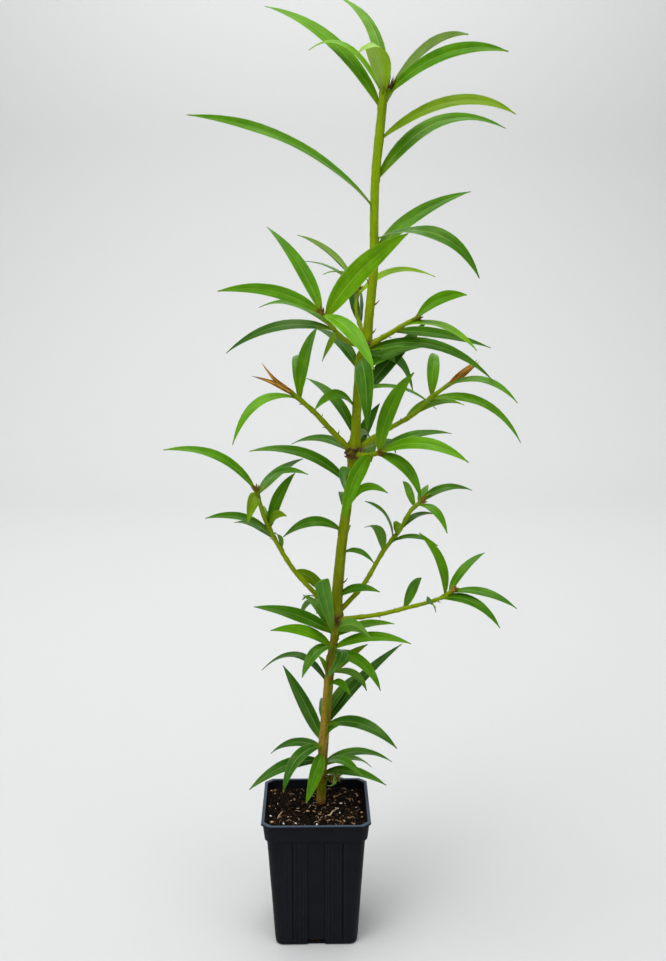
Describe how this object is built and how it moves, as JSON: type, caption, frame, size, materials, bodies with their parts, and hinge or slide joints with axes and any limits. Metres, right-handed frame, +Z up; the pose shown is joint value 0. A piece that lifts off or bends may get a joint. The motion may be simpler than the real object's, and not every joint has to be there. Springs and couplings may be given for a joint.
{
  "type": "young podocarpus in a square nursery pot",
  "caption": "Small upright evergreen with strap leaves on a slim leaning trunk and short boughs, rooted in soil in a square tapered nursery pot.",
  "frame": {"origin": "centre of the pot's flat underside, on the surface it stands on", "axes": "+Z up, +X to the right of the pot's front face, +Y from the front face to the back, the pot's sides square to X and Y"},
  "size_m": [0.3204, 0.2212, 0.879],
  "materials": {
    "pot_plastic": "black moulded plastic with a soft sheen on the lip",
    "potting_soil": "dark crumbly potting mix with bark chips and white grit",
    "green_bark": "smooth green bark that turns tan and dotted towards the foot",
    "leaf_green": "leathery green leaf with a paler midrib and a soft gloss"
  },
  "bodies": {
    "root": {"pot": "pot_plastic", "soil": "potting_soil", "trunk": "green_bark", "foliage_trunk_crown": "leaf_green", "foliage_trunk_neck": "leaf_green", "foliage_trunk_upper": "leaf_green", "foliage_trunk_middle": "leaf_green", "foliage_trunk_waist": "leaf_green", "foliage_trunk_lower": "leaf_green", "foliage_trunk_foot": "leaf_green", "bough_upper_left": "green_bark", "foliage_upper_left": "leaf_green", "bough_upper_right": "green_bark", "foliage_upper_right": "leaf_green", "bough_upper_back": "green_bark", "foliage_upper_back": "leaf_green", "bough_middle_left": "green_bark", "foliage_middle_left": "leaf_green", "bough_middle_right": "green_bark", "foliage_middle_right": "leaf_green", "bough_middle_front": "green_bark", "foliage_middle_front": "leaf_green", "bough_middle_back": "green_bark", "foliage_middle_back": "leaf_green", "bough_lower_left": "green_bark", "foliage_lower_left": "leaf_green", "bough_lower_right": "green_bark", "foliage_lower_right": "leaf_green", "bough_lowest_right": "green_bark", "foliage_lowest_right": "leaf_green", "bough_lower_back": "green_bark", "foliage_lower_back": "leaf_green"}
  },
  "joints": []
}
